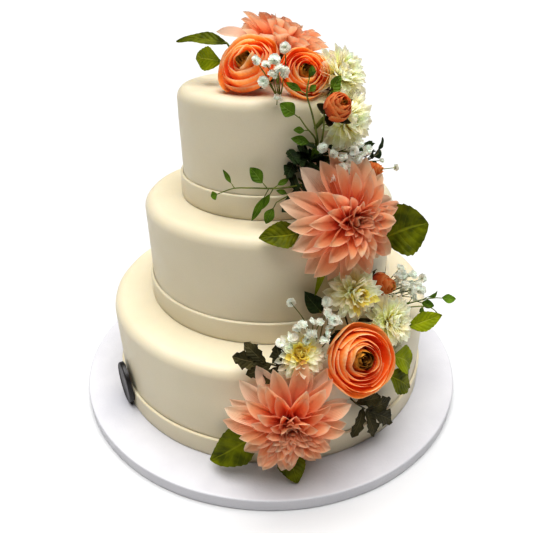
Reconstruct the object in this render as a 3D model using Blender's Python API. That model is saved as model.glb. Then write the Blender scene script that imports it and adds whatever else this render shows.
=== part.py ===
"""Three-tier wedding cake on its round cake drum, with a cascade of flowers and leaves down its right front.

Metres, +Z up. The origin is the centre of the drum's underside, and the front of the cake faces -Y.
A place on the cake is given as an azimuth, counted from the front (-Y) towards +X, a distance from
the cake's axis and a height above the table.
"""

import math

import bmesh
import bpy
from mathutils import Matrix, Vector

MM = 0.001
GAP = 0.32 * MM  # air left between pieces that touch

# Driving dimensions.
DRUM_RADIUS = 190.5 * MM
DRUM_THICKNESS = 12 * MM
DRUM_EDGE_BEVEL = 0.8 * MM
TIERS = {  # radius, height
    "bottom": (152 * MM, 93 * MM),
    "middle": (112.5 * MM, 93.5 * MM),
    "top": (76 * MM, 92 * MM),
}
TIER_EDGE_RADIUS = 10 * MM
BAND_HEIGHT = 20 * MM
BAND_THICKNESS = 2.4 * MM
SEGMENTS = 48

PLAQUE_WIDTH = 35 * MM
PLAQUE_HEIGHT = 42 * MM
PLAQUE_THICKNESS = 3.6 * MM
PLAQUE_RIM = 2.2 * MM
PLAQUE_RIM_RISE = 0.7 * MM
PLAQUE_AZIMUTH = -61
PLAQUE_SEGMENTS = 28

# Colours, roughness.
FINISHES = {
    "drum_foil": ((0.86, 0.86, 0.87), 0.45),
    "ivory_icing": ((0.93, 0.87, 0.72), 0.5),
    "ivory_band": ((0.92, 0.84, 0.68), 0.45),
    "coral_petal": ((0.90, 0.42, 0.24), 0.6),
    "orange_petal": ((0.88, 0.30, 0.07), 0.55),
    "cream_petal": ((0.93, 0.90, 0.68), 0.6),
    "green_leaf": ((0.20, 0.27, 0.02), 0.5),
    "dark_leaf": ((0.05, 0.07, 0.03), 0.6),
    "dark_plaque": ((0.03, 0.028, 0.026), 0.35),
}


def finish(name):
    """The material of that finish, made the first time it is asked for."""
    material = bpy.data.materials.get(name)
    if material is None:
        colour, roughness = FINISHES[name]
        material = bpy.data.materials.new(name)
        material.use_nodes = True
        shader = material.node_tree.nodes["Principled BSDF"]
        shader.inputs["Base Color"].default_value = (*colour, 1)
        shader.inputs["Roughness"].default_value = roughness
        shader.inputs["Metallic"].default_value = 0
    return material


def add_object(name, bm, finish_name, parent, place=Matrix()):
    """Turns a bmesh into a named object with one finish, smooth but for its sharp edges."""
    bmesh.ops.recalc_face_normals(bm, faces=bm.faces)
    mesh = bpy.data.meshes.new(name)
    bm.to_mesh(mesh)
    bm.free()
    mesh.shade_smooth()
    mesh.set_sharp_from_angle(angle=math.radians(35))
    mesh.materials.append(finish(finish_name))
    obj = bpy.data.objects.new(name, mesh)
    bpy.context.collection.objects.link(obj)
    obj.parent = parent
    obj.matrix_world = place
    return obj


def ring_of_vertices(bm, outline, height):
    """One closed loop of vertices: outline gives each one's angle and radius."""
    return [
        bm.verts.new((radius * math.cos(angle), radius * math.sin(angle), height))
        for angle, radius in outline
    ]


def join_rings(bm, first, second):
    """Quads between two loops with the same number of vertices."""
    count = len(first)
    for i in range(count):
        j = (i + 1) % count
        bm.faces.new((first[i], first[j], second[j], second[i]))


def cap_with_fan(bm, ring, height):
    """Triangles from a loop to a point on the axis."""
    centre = bm.verts.new((0, 0, height))
    count = len(ring)
    for i in range(count):
        bm.faces.new((ring[i], ring[(i + 1) % count], centre))


def circle(radius, segments=SEGMENTS):
    return [(math.tau * i / segments, radius) for i in range(segments)]


def lathe(profile, ends="fan"):
    """A solid turned from (radius, height) points. Its ends are fans, flat faces or, for a ring, none."""
    bm = bmesh.new()
    rings = [ring_of_vertices(bm, circle(r), z) for r, z in profile]
    for lower, upper in zip(rings, rings[1:]):
        join_rings(bm, lower, upper)
    if ends == "ring":
        join_rings(bm, rings[-1], rings[0])
    elif ends == "flat":
        bm.faces.new(rings[0])
        bm.faces.new(rings[-1])
    else:
        cap_with_fan(bm, rings[0], profile[0][1])
        cap_with_fan(bm, rings[-1], profile[-1][1])
    return bm


# The drum, the tiers and their bands.


def add_drum(parent):
    """A flat round board with a slightly broken edge."""
    b = DRUM_EDGE_BEVEL
    profile = [
        (DRUM_RADIUS - b, 0),
        (DRUM_RADIUS, b),
        (DRUM_RADIUS, DRUM_THICKNESS - b),
        (DRUM_RADIUS - b, DRUM_THICKNESS),
    ]
    add_object("cake_drum", lathe(profile), "drum_foil", parent)


def rounded_top(radius, top, grow=0.0):
    """The quarter round at a tier's top edge, from its side up to its flat top."""
    steps = 3
    reach = TIER_EDGE_RADIUS + grow
    centre = (radius - TIER_EDGE_RADIUS, top - TIER_EDGE_RADIUS)
    turns = [math.pi / 2 * i / steps for i in range(steps + 1)]
    return [(centre[0] + reach * math.cos(a), centre[1] + reach * math.sin(a)) for a in turns]


def add_tier(name, radius, base, height, parent):
    """A solid round cake under icing, its top edge rounded off by a quarter circle."""
    profile = [(radius, base + GAP)] + rounded_top(radius, base + height)
    add_object(f"tier_{name}", lathe(profile), "ivory_icing", parent)


def add_band(name, radius, base, parent):
    """The flat strip of icing that wraps a tier's foot, its top sloping out and down."""
    inner = radius + GAP
    outer = inner + BAND_THICKNESS
    profile = [
        (inner, base + GAP),
        (outer, base + GAP),
        (outer, base + BAND_HEIGHT - BAND_THICKNESS / 2),
        (inner, base + BAND_HEIGHT),
    ]
    add_object(f"band_{name}", lathe(profile, ends="ring"), "ivory_band", parent)


def add_seat_cutter():
    """The stepped outline of drum, tiers and bands, grown by the gap: trims what is set into it."""
    profile = [(DRUM_RADIUS + GAP, -DRUM_THICKNESS), (DRUM_RADIUS + GAP, DRUM_THICKNESS + GAP)]
    base = DRUM_THICKNESS
    for radius, height in TIERS.values():
        foot = radius + GAP + BAND_THICKNESS + GAP
        profile += [
            (foot, base + GAP),
            (foot, base + BAND_HEIGHT),
            (radius + GAP, base + BAND_HEIGHT + GAP),
        ]
        profile += rounded_top(radius, base + height, grow=GAP)
        base += height
    mesh = bpy.data.meshes.new("seat_cutter")
    bm = lathe(profile, ends="flat")
    bmesh.ops.recalc_face_normals(bm, faces=bm.faces)
    bm.to_mesh(mesh)
    bm.free()
    cutter = bpy.data.objects.new("seat_cutter", mesh)
    bpy.context.collection.objects.link(cutter)
    cutter.hide_render = True
    cutter.display_type = "WIRE"
    return cutter


def trim(obj, cutter):
    """Takes away whatever of the object lies inside the cutter."""
    cut = obj.modifiers.new("seat", "BOOLEAN")
    cut.operation = "DIFFERENCE"
    cut.solver = "EXACT"
    cut.object = cutter


def add_plaque(parent):
    """A blank oval plaque with a raised rim, stood on the drum against the bottom band."""
    tier_radius = TIERS["bottom"][0]
    back = tier_radius + GAP + BAND_THICKNESS + GAP
    faces = PLAQUE_THICKNESS, PLAQUE_THICKNESS + PLAQUE_RIM_RISE
    rim = PLAQUE_WIDTH / 2 - PLAQUE_RIM
    profile = [(PLAQUE_WIDTH / 2, 0), (PLAQUE_WIDTH / 2, faces[1]), (rim, faces[1]), (rim, faces[0])]
    bm = bmesh.new()
    rings = [ring_of_vertices(bm, circle(r, PLAQUE_SEGMENTS), z) for r, z in profile]
    for lower, upper in zip(rings, rings[1:]):
        join_rings(bm, lower, upper)
    cap_with_fan(bm, rings[0], 0)
    cap_with_fan(bm, rings[-1], faces[0])
    bm.transform(Matrix.Scale(PLAQUE_HEIGHT / PLAQUE_WIDTH, 4, Vector((0, 1, 0))))
    turn = math.radians(PLAQUE_AZIMUTH)
    height = DRUM_THICKNESS + GAP + PLAQUE_HEIGHT / 2
    place = (
        Matrix.Rotation(turn, 4, "Z")
        @ Matrix.Translation((0, -back, height))
        @ Matrix.Rotation(math.radians(90), 4, "X")
    )
    add_object("plaque", bm, "dark_plaque", parent, place)


# Flowers. A layer is one round of petals: its reach as a share of the flower's radius, the height
# of its rim, and how deep the notches between its petals are. Layers go from the heart outwards.

FORMS = {
    "dahlia": {
        "petals": 10,
        "steps": 4,
        "heart": 0.20,
        "layers": [(0.30, 0.27, 0.35), (0.62, 0.22, 0.32), (1.00, 0.12, 0.40)],
        "drop": 0.07,
        "neck": (0.24, -0.16),
        "stem": 0.15,
    },
    "dahlia_cupped": {
        "petals": 10,
        "steps": 4,
        "heart": 0.06,
        "layers": [(0.26, 0.14, 0.30), (0.54, 0.25, 0.28), (1.00, 0.40, 0.34)],
        "drop": 0.07,
        "neck": (0.44, -0.20),
        "stem": 0.15,
    },
    "ranunculus": {
        "petals": 5,
        "steps": 4,
        "heart": 0.52,
        "layers": [(0.30, 0.60, 0.04), (0.62, 0.55, 0.06), (0.86, 0.38, 0.06), (1.00, 0.16, 0.08)],
        "drop": 0.10,
        "neck": (0.52, -0.30),
        "stem": 0.20,
    },
    "mum": {
        "petals": 11,
        "steps": 2,
        "heart": 0.44,
        "layers": [(0.48, 0.46, 0.22), (0.80, 0.28, 0.24), (1.00, 0.06, 0.26)],
        "drop": 0.08,
        "neck": (0.36, -0.34),
        "stem": 0.18,
    },
    "bud": {
        "petals": 4,
        "steps": 3,
        "heart": 1.05,
        "layers": [(0.50, 1.15, 0.03), (0.86, 0.75, 0.04), (1.00, 0.20, 0.04)],
        "drop": 0.12,
        "neck": (0.72, -0.55),
        "stem": 0.17,
    },
}
FLOWER_FINISH = {
    "dahlia": "coral_petal",
    "dahlia_cupped": "coral_petal",
    "ranunculus": "orange_petal",
    "bud": "orange_petal",
    "mum": "cream_petal",
}


def petal_outline(radius, petals, steps, notch, phase):
    """A round of petals seen from the front: tips at full radius, notches between them."""
    count = petals * steps
    outline = []
    for i in range(count):
        angle = math.tau * i / count
        swing = abs(math.cos(petals * angle / 2 + phase))
        outline.append((angle, radius * (1 - notch * (1 - swing))))
    return outline


def add_flower(name, form_name, radius, depth, place, parent, cutter):
    """Rounds of petals stepped down from the heart, over a neck and a stem set into the cake.

    depth is how far the stem's end lies behind the outermost rim, before the cake trims it."""
    form = FORMS[form_name]
    petals, steps = form["petals"], form["steps"]
    drop = form["drop"] * radius
    bm = bmesh.new()
    rings = []
    for i, (reach, height, notch) in enumerate(form["layers"]):
        phase = math.pi / 2 * (i % 2)
        outline = petal_outline(reach * radius, petals, steps, notch, phase)
        rings.append(ring_of_vertices(bm, outline, height * radius))
        rings.append(ring_of_vertices(bm, outline, height * radius - drop))
    count = petals * steps
    neck_reach, neck_height = form["neck"]
    rings.append(ring_of_vertices(bm, circle(neck_reach * radius, count), neck_height * radius))
    rings.append(ring_of_vertices(bm, circle(form["stem"] * radius, count), -depth))
    for inner, outer in zip(rings, rings[1:]):
        join_rings(bm, inner, outer)
    cap_with_fan(bm, rings[0], form["heart"] * radius)
    cap_with_fan(bm, rings[-1], -depth)
    trim(add_object(name, bm, FLOWER_FINISH[form_name], parent, place), cutter)


def around_cake(azimuth, reach, height):
    """A point from its azimuth in degrees, its distance from the axis and its height."""
    turn = math.radians(azimuth)
    return Vector((reach * math.sin(turn), -reach * math.cos(turn), height))


def facing(point, azimuth, rise):
    """A frame at a point whose +Z looks out along an azimuth, raised by so many degrees."""
    rise = math.radians(rise)
    turn = math.radians(azimuth)
    axis = Vector((
        math.sin(turn) * math.cos(rise),
        -math.cos(turn) * math.cos(rise),
        math.sin(rise),
    ))
    return Matrix.Translation(point) @ axis.to_track_quat("Z", "Y").to_matrix().to_4x4()


# name, form, radius, depth (mm), place: azimuth, reach, height (degrees, mm), facing: azimuth, rise
FLOWERS = [
    ("dahlia_crown", "dahlia_cupped", 36, 32, (108, 11, 318), (110, 76)),
    ("ranunculus_crown_left", "ranunculus", 22, 34, (-17, 51, 310), (-29, 38)),
    ("ranunculus_crown_right", "ranunculus", 18, 36, (25, 63, 306), (12, 29)),
    ("mum_crown", "mum", 20, 30, (53, 74, 303), (51, 36)),
    ("mum_top_side", "mum", 21, 24, (41, 92, 270), (46, 8)),
    ("bud_top_side", "bud", 11, 42, (25, 106, 290), (16, 30)),
    ("dahlia_middle", "dahlia", 46, 24, (29, 118, 208), (30, 22)),
    ("bud_behind_dahlia", "bud", 9, 30, (60, 98, 231), (66, 18)),
    ("mum_middle", "mum", 21, 26, (29, 132, 152), (26, 14)),
    ("bud_under_dahlia", "bud", 10, 24, (50, 127, 142), (54, 10)),
    ("mum_low_right", "mum", 20, 42, (41, 145, 123), (40, 26)),
    ("ranunculus_low", "ranunculus", 25, 30, (24, 164, 117), (20, 30)),
    ("mum_low_left", "mum", 15, 30, (9, 151, 122), (4, 40)),
    ("dahlia_low", "dahlia", 46, 28, (4.2, 171, 78), (2, 8)),
]

# Leaves. The rows give the outline, the finish, where the stalk is set into the cake, the blade's
# base and tip, the blade's width and how far its middle bows out from the straight line.

LEAF_THICKNESS = 1.0 * MM
STALK_WIDTH = 2.4 * MM
LEAF_OUTLINES = {
    "plain": {"stations": 6, "lobes": 0, "lobe_depth": 0},
    "lobed": {"stations": 12, "lobes": 3, "lobe_depth": 0.42},
}
LEAVES = [
    ("leaf_crown_far", "plain", "green_leaf", (-45, 22, 289), (-66, 34, 322), (-101, 76, 318), 15, 6),
    ("leaf_crown_near", "plain", "green_leaf", (-50, 34, 289), (-60, 44, 308), (-86, 66, 308), 20, 2),
    ("leaf_middle_left", "plain", "green_leaf", (9, 100, 190), (9, 113, 203), (-4, 119, 202), 22, 2),
    ("leaf_middle_right", "plain", "green_leaf", (42, 108, 186), (46, 122, 186), (55, 150, 198), 42, 4),
    ("leaf_middle_stem", "plain", "green_leaf", (21, 110, 190), (21, 121, 187), (16.5, 125, 153), 7, 2),
    ("leaf_middle_dark", "plain", "dark_leaf", (20, 110, 132), (19, 120, 135), (12.5, 119, 156), 14, 1),
    ("leaf_low_right", "plain", "green_leaf", (52, 148, 101), (49, 156, 112), (55, 173, 120), 20, 3),
    ("leaf_low_side_upper", "plain", "green_leaf", (37, 150, 98), (39, 158, 96), (47, 160, 76), 20, 3),
    ("leaf_low_side_lower", "plain", "green_leaf", (33, 150, 88), (34, 160, 84), (41, 168, 58), 18, 3),
    ("leaf_foot_left", "plain", "green_leaf", (-4, 150, 52), (-5, 160, 50), (-18, 166, 27), 30, 4),
    ("leaf_foot_front", "plain", "dark_leaf", (5, 150, 42), (5, 162, 40), (4, 177, 16), 22, 3),
    ("leaf_lobed_left", "lobed", "dark_leaf", (6, 146, 98), (1, 155, 117), (-8, 153, 121), 24, 2),
    ("leaf_lobed_right", "lobed", "dark_leaf", (25, 150, 66), (26, 160, 64), (36, 163, 30), 26, 2),
]


def leaf_half_width(t, lobes, lobe_depth):
    """Half the leaf's width, as a share of its greatest, at t from base (0) to tip (1)."""
    width = math.sin(math.pi * t**0.75) ** 0.8
    if lobes:
        width *= 1 - lobe_depth * 0.5 * (1 - math.cos(math.tau * lobes * t))
    return max(width, 0.05)


def add_leaf(name, outline_name, finish_name, places, width, bow, parent, cutter):
    """A thin bowed blade on a stalk that is set into the cake; places are root, base and tip."""
    outline = LEAF_OUTLINES[outline_name]
    root, start, end = (around_cake(a, r * MM, z * MM) for a, r, z in places)
    along = (end - start).normalized()
    middle = (start + end) / 2
    outwards = Vector((middle.x, middle.y, 0.0)).normalized() + Vector((0, 0, 0.6))
    across = along.cross(outwards).normalized()
    normal = across.cross(along).normalized()
    last = outline["stations"] - 1
    spine = [(root, STALK_WIDTH / 2)]
    for i in range(last + 1):
        t = i / last
        half = leaf_half_width(t, outline["lobes"], outline["lobe_depth"]) * width * MM / 2
        if i == 0:
            half = STALK_WIDTH / 2
        spine.append((start.lerp(end, t) + normal * (bow * MM * math.sin(math.pi * t)), half))
    bm = bmesh.new()
    sections = []
    for centre, half in spine:
        droop = normal * (0.18 * half)
        upper = [centre - across * half - droop, centre, centre + across * half - droop]
        lower = [p - normal * LEAF_THICKNESS for p in reversed(upper)]
        sections.append([bm.verts.new(p) for p in upper + lower])
    for first, second in zip(sections, sections[1:]):
        join_rings(bm, first, second)
    for section in (sections[0], sections[-1]):
        bm.faces.new((section[0], section[1], section[4], section[5]))
        bm.faces.new((section[1], section[2], section[3], section[4]))
    trim(add_object(name, bm, finish_name, parent), cutter)


def main():
    for obj in list(bpy.data.objects):
        bpy.data.objects.remove(obj)
    cake = bpy.data.objects.new("cake", None)
    bpy.context.collection.objects.link(cake)
    add_drum(cake)
    base = DRUM_THICKNESS
    for name, (radius, height) in TIERS.items():
        add_tier(name, radius, base, height, cake)
        add_band(name, radius, base, cake)
        base += height
    add_plaque(cake)
    cutter = add_seat_cutter()
    for name, form, radius, depth, place, look in FLOWERS:
        azimuth, reach, height = place
        frame = facing(around_cake(azimuth, reach * MM, height * MM), *look)
        add_flower(name, form, radius * MM, depth * MM, frame, cake, cutter)
    for name, outline, finish_name, root, start, end, width, bow in LEAVES:
        add_leaf(name, outline, finish_name, (root, start, end), width, bow, cake, cutter)


main()
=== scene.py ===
"""The looks of a three-tier wedding cake with a cascade of flowers, round its CAD frame."""

import math

import bmesh
import bpy
import numpy as np
from mathutils import Matrix, Vector, noise


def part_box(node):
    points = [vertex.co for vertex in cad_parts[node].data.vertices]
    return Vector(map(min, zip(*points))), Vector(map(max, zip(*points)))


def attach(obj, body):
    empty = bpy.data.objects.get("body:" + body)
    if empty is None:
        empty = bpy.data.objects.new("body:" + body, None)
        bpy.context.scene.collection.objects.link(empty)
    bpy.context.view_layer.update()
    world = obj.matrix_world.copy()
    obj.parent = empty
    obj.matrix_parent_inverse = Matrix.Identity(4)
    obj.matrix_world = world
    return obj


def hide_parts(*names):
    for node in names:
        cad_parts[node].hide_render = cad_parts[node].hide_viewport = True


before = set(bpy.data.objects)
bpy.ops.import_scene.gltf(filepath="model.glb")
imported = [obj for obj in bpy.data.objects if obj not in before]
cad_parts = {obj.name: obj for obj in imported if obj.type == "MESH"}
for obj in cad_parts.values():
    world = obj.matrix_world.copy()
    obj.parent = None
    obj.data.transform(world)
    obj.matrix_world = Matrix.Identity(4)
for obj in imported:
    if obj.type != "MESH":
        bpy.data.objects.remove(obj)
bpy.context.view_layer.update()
MM = 0.001

# -------- camera, light, floor

EYE_DISTANCE = 516.9 * MM
LOOK_AT = Vector((-2.98, 0, 114.1)) * MM
PITCH = math.radians(28.89)
ROLL = math.radians(-0.77)
LENS = 34.94
SENSOR_WIDTH = 36
CLIP_RANGE = (0.01, 100)
LIGHT_ANGLE = math.radians(60)  # how large the light looks; a larger one gives softer shadows
LIGHT_ENERGY = 5.15
LIGHT_FROM = Vector((-0.02, -0.04, 1))
SURROUND_STRENGTH = 0.04
TONE_GAMMA = 0.85  # below 1, it deepens the middle tones


def add_camera():
    cam = bpy.data.objects.new("camera", bpy.data.cameras.new("camera"))
    bpy.context.collection.objects.link(cam)
    back = Vector((0, -math.cos(PITCH), math.sin(PITCH)))
    turn = (-back).to_track_quat("-Z", "Y").to_matrix().to_4x4()
    spot = Matrix.Translation(LOOK_AT + back * EYE_DISTANCE)
    cam.matrix_world = spot @ turn @ Matrix.Rotation(ROLL, 4, "Z")
    cam.data.lens = LENS
    cam.data.sensor_width = SENSOR_WIDTH
    cam.data.clip_start, cam.data.clip_end = CLIP_RANGE
    bpy.context.scene.camera = cam


def add_lights():
    """A wide soft light from straight above, as in a light tent, and a dim even surround."""
    data = bpy.data.lights.new("top_light", "SUN")
    data.angle = LIGHT_ANGLE
    data.energy = LIGHT_ENERGY
    lamp = bpy.data.objects.new("top_light", data)
    bpy.context.collection.objects.link(lamp)
    lamp.rotation_mode = "QUATERNION"
    lamp.rotation_quaternion = LIGHT_FROM.to_track_quat("Z", "Y")
    world = bpy.data.worlds.new("studio")
    bpy.context.scene.world = world
    world.use_nodes = True
    surround = world.node_tree.nodes["Background"].inputs
    surround["Color"].default_value = (1, 1, 1, 1)
    surround["Strength"].default_value = SURROUND_STRENGTH
    view = bpy.context.scene.view_settings
    view.view_transform = "Standard"
    view.look = "None"
    view.exposure = 0
    view.gamma = TONE_GAMMA


# -------- shading helpers


def srgb(red, green, blue):
    """A colour given in 0 to 255, as the linear values that shaders take."""
    shares = (c / 255 for c in (red, green, blue))
    return tuple(c / 12.92 if c <= 0.04045 else ((c + 0.055) / 1.055) ** 2.4 for c in shares)


class Shader:
    """A material and short ways to add nodes to it."""

    def __init__(self, name, roughness, specular):
        self.material = bpy.data.materials.new(name)
        self.material.use_nodes = True
        self.tree = self.material.node_tree
        self.main = self.tree.nodes["Principled BSDF"]
        self.set({"Roughness": roughness, "Specular IOR Level": specular})

    def put(self, socket, value):
        if isinstance(value, bpy.types.NodeSocket):
            self.tree.links.new(value, socket)
        elif isinstance(value, tuple) and len(value) == 3 and socket.type == "RGBA":
            socket.default_value = (*value, 1)
        else:
            socket.default_value = value

    def node(self, kind, inputs=(), **settings):
        made = self.tree.nodes.new(kind)
        for key, value in settings.items():
            setattr(made, key, value)
        for key, value in dict(inputs).items():
            self.put(made.inputs[key], value)
        return made

    def set(self, inputs):
        for key, value in inputs.items():
            self.put(self.main.inputs[key], value)

    def set_colour(self, value):
        self.put(self.main.inputs["Base Color"], value)

    def math(self, operation, first, second=0.0, clamp=False):
        terms = {0: first, 1: second}
        made = self.node("ShaderNodeMath", terms, operation=operation, use_clamp=clamp)
        return made.outputs[0]

    def plus(self, first, second):
        return self.math("ADD", first, second)

    def minus(self, first, second):
        return self.math("SUBTRACT", first, second)

    def times(self, first, second, clamp=False):
        return self.math("MULTIPLY", first, second, clamp)

    def from_middle(self, value):
        """How far a value that runs from 0 to 1 is from its middle."""
        return self.math("ABSOLUTE", self.minus(value, 0.5))

    def mix(self, share, first, second, blend="MIX"):
        """A mix of two colours; of this node's sockets, 6 and 7 take colours and 2 gives one."""
        colours = {0: share, 6: first, 7: second}
        return self.node("ShaderNodeMix", colours, data_type="RGBA", blend_type=blend).outputs[2]

    def tinted(self, colour, tint):
        return self.mix(1.0, colour, tint, "MULTIPLY")

    def ramp(self, value, stops, interpolation="LINEAR"):
        """A colour ramp; stops are (place, colour or grey)."""
        made = self.node("ShaderNodeValToRGB", {"Fac": value})
        elements = made.color_ramp.elements
        made.color_ramp.interpolation = interpolation
        while len(elements) < len(stops):
            elements.new(0.5)
        for element, (place, colour) in zip(elements, stops):
            element.position = place
            element.color = (*colour, 1) if isinstance(colour, tuple) else (colour,) * 3 + (1,)
        return made.outputs["Color"]

    def spot(self):
        return self.node("ShaderNodeTexCoord").outputs["Object"]

    def noise(self, scale, detail=3.0):
        """Clouds, about one metre / scale across."""
        inputs = {"Vector": self.spot(), "Scale": scale, "Detail": detail}
        return self.node("ShaderNodeTexNoise", inputs).outputs["Fac"]

    def map_uv(self, name):
        """One of the maps that Piece.build makes: petal is across and along, tint is how far
        the colour fades and a random value."""
        both = self.node("ShaderNodeUVMap", uv_map=name).outputs[0]
        return self.node("ShaderNodeSeparateXYZ", {0: both}).outputs[:2]

    def bump(self, height, distance):
        made = self.node("ShaderNodeBump", {"Height": height, "Distance": distance})
        self.put(self.main.inputs["Normal"], made.outputs[0])
        return made.outputs[0]

    def let_light_through(self, colour, share, normal):
        """Mixes in the light that a thin petal or leaf lets through from behind."""
        through = self.node("ShaderNodeBsdfTranslucent", {"Color": colour, "Normal": normal})
        sides = {0: share, 1: self.main.outputs[0], 2: through.outputs[0]}
        both = self.node("ShaderNodeMixShader", sides)
        self.put(self.tree.nodes["Material Output"].inputs["Surface"], both.outputs[0])


# -------- materials


def icing_material(name, colour, roughness):
    """Smooth rolled icing: a faint mottle, fine grain and a soft sheen."""
    s = Shader(name, roughness, 0.4)
    light = tuple(c * 1.03 for c in colour)
    dark = tuple(c * f for c, f in zip(colour, (0.975, 0.965, 0.94)))
    mottle = s.ramp(s.noise(14.0), [(0.35, dark), (0.65, light)])
    grain = s.noise(1500.0, 2.0)
    fleck = s.ramp(grain, [(0.3, 0.965), (0.6, 1.0)])
    s.set_colour(s.tinted(mottle, fleck))
    sheen = [(0.3, roughness - 0.05), (0.7, roughness + 0.06)]
    s.set({"Roughness": s.ramp(s.noise(60.0, 2.0), sheen)})
    s.set({"Subsurface Weight": 0.25, "Subsurface Scale": 3 * MM})
    s.set({"Subsurface Radius": (1.0, 0.75, 0.45)})
    swell = s.times(s.noise(28.0, 2.0), 5.0)
    s.bump(s.plus(swell, s.times(grain, 0.35)), 0.12 * MM)
    return s.material


def board_material():
    """White paper-covered drum with a fine pressed grain."""
    s = Shader("drum_paper", 0.42, 0.45)
    grain = s.noise(420.0)
    pits = s.node("ShaderNodeTexVoronoi", {"Vector": s.spot(), "Scale": 520.0})
    white, shade = srgb(209, 208, 211), srgb(200, 199, 203)
    s.set_colour(s.ramp(s.noise(22.0, 4.0), [(0.3, shade), (0.7, white)]))
    s.set({"Roughness": s.ramp(s.noise(45.0), [(0.3, 0.34), (0.7, 0.5)])})
    s.bump(s.plus(grain, s.times(pits.outputs["Distance"], 0.8)), 0.12 * MM)
    return s.material


def plaque_material():
    """Black, with a few worn grey flecks."""
    s = Shader("plaque_black", 0.36, 0.5)
    wear = [(0.3, srgb(26, 24, 23)), (0.62, srgb(38, 35, 33)), (0.8, srgb(74, 70, 66))]
    s.set_colour(s.ramp(s.noise(600.0, 4.0), wear))
    s.set({"Roughness": s.ramp(s.noise(90.0), [(0.3, 0.28), (0.7, 0.5)])})
    s.bump(s.noise(1300.0), 0.15 * MM)
    return s.material


def petal_material(name, along, pale, streak, veins=26.0, through=0.5, relief=0.1):
    """A silk petal. along: places from the petal's foot (0) to its tip (1), each with its colour
    in 0 to 255, the deeper ones at the foot partly the petal's own colour and partly painted shade
    for the depth of the flower; pale: the colour at its rim, which the first tint value also fades
    it to; streak: how much the streaks along it darken; through: how much light it lets through."""
    s = Shader(name, 0.7, 0.15)
    pale = srgb(*pale)
    across, length = s.map_uv("petal")
    fade, chance = s.map_uv("tint")
    waver = s.times(s.minus(s.noise(140.0), 0.5), 0.34)
    spot = s.plus(length, waver)
    # The ramp's deeper foot is partly the petal's own colour and partly painted shade where the
    # petals sit deep in the flower.
    colour = s.ramp(spot, [(where, srgb(*rgb)) for where, *rgb in along])
    rim = s.times(s.ramp(s.from_middle(across), [(0.36, 0.0), (0.5, 1.0)]), 0.42)
    colour = s.mix(rim, colour, pale)
    faded = s.times(fade, s.ramp(spot, [(0.05, 0.35), (0.75, 1.0)]), clamp=True)
    colour = s.mix(faded, colour, pale)
    drawn_out = s.node("ShaderNodeCombineXYZ", {"X": across, "Y": s.times(length, 0.12)})
    wave = {"Scale": veins / 6, "Distortion": 2.2, "Detail": 3.0, "Detail Scale": 3.0}
    wave["Vector"] = drawn_out.outputs[0]
    ridges = s.node("ShaderNodeTexWave", wave).outputs["Fac"]
    deeper = s.tinted(colour, (1.0, 0.78, 0.66))
    colour = s.mix(s.times(ridges, streak), colour, deeper)
    tones = [(0.0, (1.0, 0.9, 0.84)), (0.5, (1.02, 1.0, 0.96)), (1.0, (1.04, 1.14, 1.14))]
    colour = s.tinted(colour, s.ramp(chance, tones))
    s.set_colour(colour)
    weave = s.times(s.noise(2600.0, 1.0), 0.4)
    normal = s.bump(s.plus(ridges, weave), relief * MM)
    s.set({"Sheen Weight": 0.15})
    s.let_light_through(colour, through, normal)
    return s.material


def heart_material(name, dark, light):
    """The brownish green heart of a ranunculus."""
    s = Shader(name, 0.6, 0.3)
    _, length = s.map_uv("petal")
    mottle = s.noise(700.0)
    spot = s.plus(length, s.times(s.minus(mottle, 0.5), 0.7))
    s.set_colour(s.ramp(spot, [(0.45, srgb(*dark)), (0.95, srgb(*light))]))
    s.bump(mottle, 0.2 * MM)
    return s.material


def leaf_material(name, deep, fresh, vein, through=0.2, roughness=0.55, ribs=7.0):
    """A leaf with a midrib, side veins that sweep towards the tip and a blotchy blade."""
    s = Shader(name, roughness, 0.14)
    across, length = s.map_uv("petal")
    _, chance = s.map_uv("tint")
    side = s.from_middle(across)
    blotch = s.noise(110.0, 4.0)
    blade = s.ramp(blotch, [(0.32, srgb(*deep)), (0.68, srgb(*fresh))])
    swept = s.minus(length, s.times(side, 0.55))
    wobble = s.times(s.noise(160.0), 0.05)
    near = s.from_middle(s.math("FRACT", s.times(s.plus(swept, wobble), ribs)))
    side_veins = s.ramp(near, [(0.0, 1.0), (0.09, 0.0)])
    midrib = s.ramp(side, [(0.012, 1.0), (0.035, 0.0)])
    lines = s.math("MAXIMUM", s.times(side_veins, 0.28), midrib)
    colour = s.mix(s.times(lines, 0.55), blade, srgb(*vein))
    tone = s.ramp(chance, [(0.0, (0.78, 0.82, 0.8)), (1.0, (1.12, 1.1, 1.0))])
    colour = s.tinted(colour, tone)
    s.set_colour(colour)
    quilt = s.ramp(near, [(0.0, 0.0), (0.5, 1.0)], "EASE")
    height = s.plus(s.times(quilt, 0.8), s.times(blotch, 0.5))
    normal = s.bump(s.minus(height, lines), 0.3 * MM)
    s.let_light_through(colour, through, normal)
    return s.material


def stem_material(name, low, high):
    s = Shader(name, 0.5, 0.35)
    s.set_colour(s.ramp(s.noise(160.0), [(0.35, srgb(*low)), (0.65, srgb(*high))]))
    s.bump(s.noise(900.0, 2.0), 0.1 * MM)
    return s.material


def floor_material():
    s = Shader("floor_white", 0.9, 0.1)
    s.set_colour(s.ramp(s.noise(2.0), [(0.3, 0.64), (0.7, 0.655)]))
    return s.material


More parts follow.
